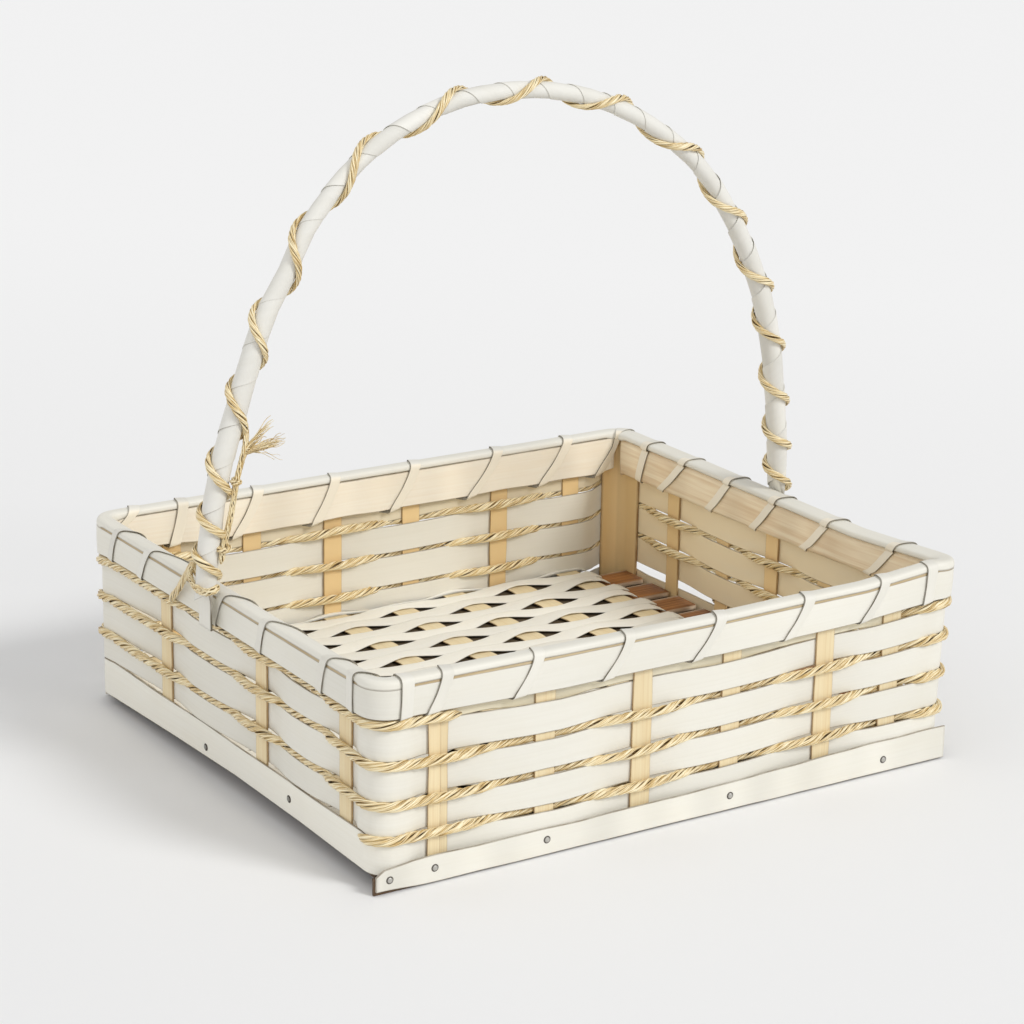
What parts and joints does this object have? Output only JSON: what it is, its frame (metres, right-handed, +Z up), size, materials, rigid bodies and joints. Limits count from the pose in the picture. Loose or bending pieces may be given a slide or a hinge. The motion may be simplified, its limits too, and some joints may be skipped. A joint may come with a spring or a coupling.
{
  "type": "gift basket",
  "caption": "Rectangular woven cane basket with a slatted floor, a lashed rim and a tall arched handle, for carrying and showing gifts.",
  "frame": {"origin": "middle of the basket's footprint, on the surface that it stands on", "axes": "+X along the basket's length, in the plane of the handle; +Y across its width, towards the back; +Z up"},
  "size_m": [0.3477, 0.286, 0.3297],
  "materials": {
    "white_chip": "bleached cream wood chip, smooth with faint grain",
    "tan_cane": "honey tan split cane with straight grain",
    "honey_bamboo": "satin bamboo skin with soft grain",
    "gold_twine": "glossy twisted grass twine",
    "brown_lath": "rough red-brown wood lath",
    "white_tape": "matt white tape wrap"
  },
  "bodies": {
    "root": {"wall_band_1": "white_chip", "wall_band_2": "white_chip", "wall_band_3": "white_chip", "wall_band_4": "white_chip", "rim_weaver": "tan_cane", "wall_twine_1": "gold_twine", "wall_twine_2": "gold_twine", "wall_twine_3": "gold_twine", "wall_twine_4_front": "gold_twine", "wall_twine_4_back": "gold_twine", "stake_front_1": "tan_cane", "stake_front_2": "tan_cane", "stake_front_3": "tan_cane", "stake_front_4": "tan_cane", "stake_front_5": "tan_cane", "stake_front_6": "tan_cane", "stake_right_1": "tan_cane", "stake_right_2": "tan_cane", "stake_right_3": "tan_cane", "stake_right_4": "tan_cane", "stake_right_5": "tan_cane", "stake_back_1": "tan_cane", "stake_back_2": "tan_cane", "stake_back_3": "tan_cane", "stake_back_4": "tan_cane", "stake_back_5": "tan_cane", "stake_back_6": "tan_cane", "stake_left_1": "tan_cane", "stake_left_2": "tan_cane", "stake_left_3": "tan_cane", "stake_left_4": "tan_cane", "stake_left_5": "tan_cane", "corner_post_front_right": "tan_cane", "corner_post_back_right": "tan_cane", "corner_post_back_left": "tan_cane", "corner_post_front_left": "tan_cane", "rim_hoop_outer": "white_chip", "rim_strip_inner_front": "white_chip", "rim_strip_inner_back": "white_chip", "rim_strip_inner_left": "white_chip", "rim_strip_inner_right": "honey_bamboo", "rim_strip_top": "white_chip", "rim_lashing": "white_chip", "base_strip_front": "white_chip", "base_strip_back": "white_chip", "bottom_frame": "brown_lath", "floor_slat_01": "brown_lath", "floor_slat_02": "brown_lath", "floor_slat_03": "brown_lath", "floor_slat_04": "brown_lath", "floor_slat_05": "brown_lath", "floor_slat_06": "brown_lath", "floor_slat_07": "brown_lath", "floor_slat_08": "brown_lath", "floor_slat_09": "brown_lath", "floor_slat_10": "brown_lath", "floor_mat": "white_chip", "handle_core": "tan_cane", "handle_wrap": "white_tape", "handle_twine": "gold_twine"}
  },
  "joints": []
}
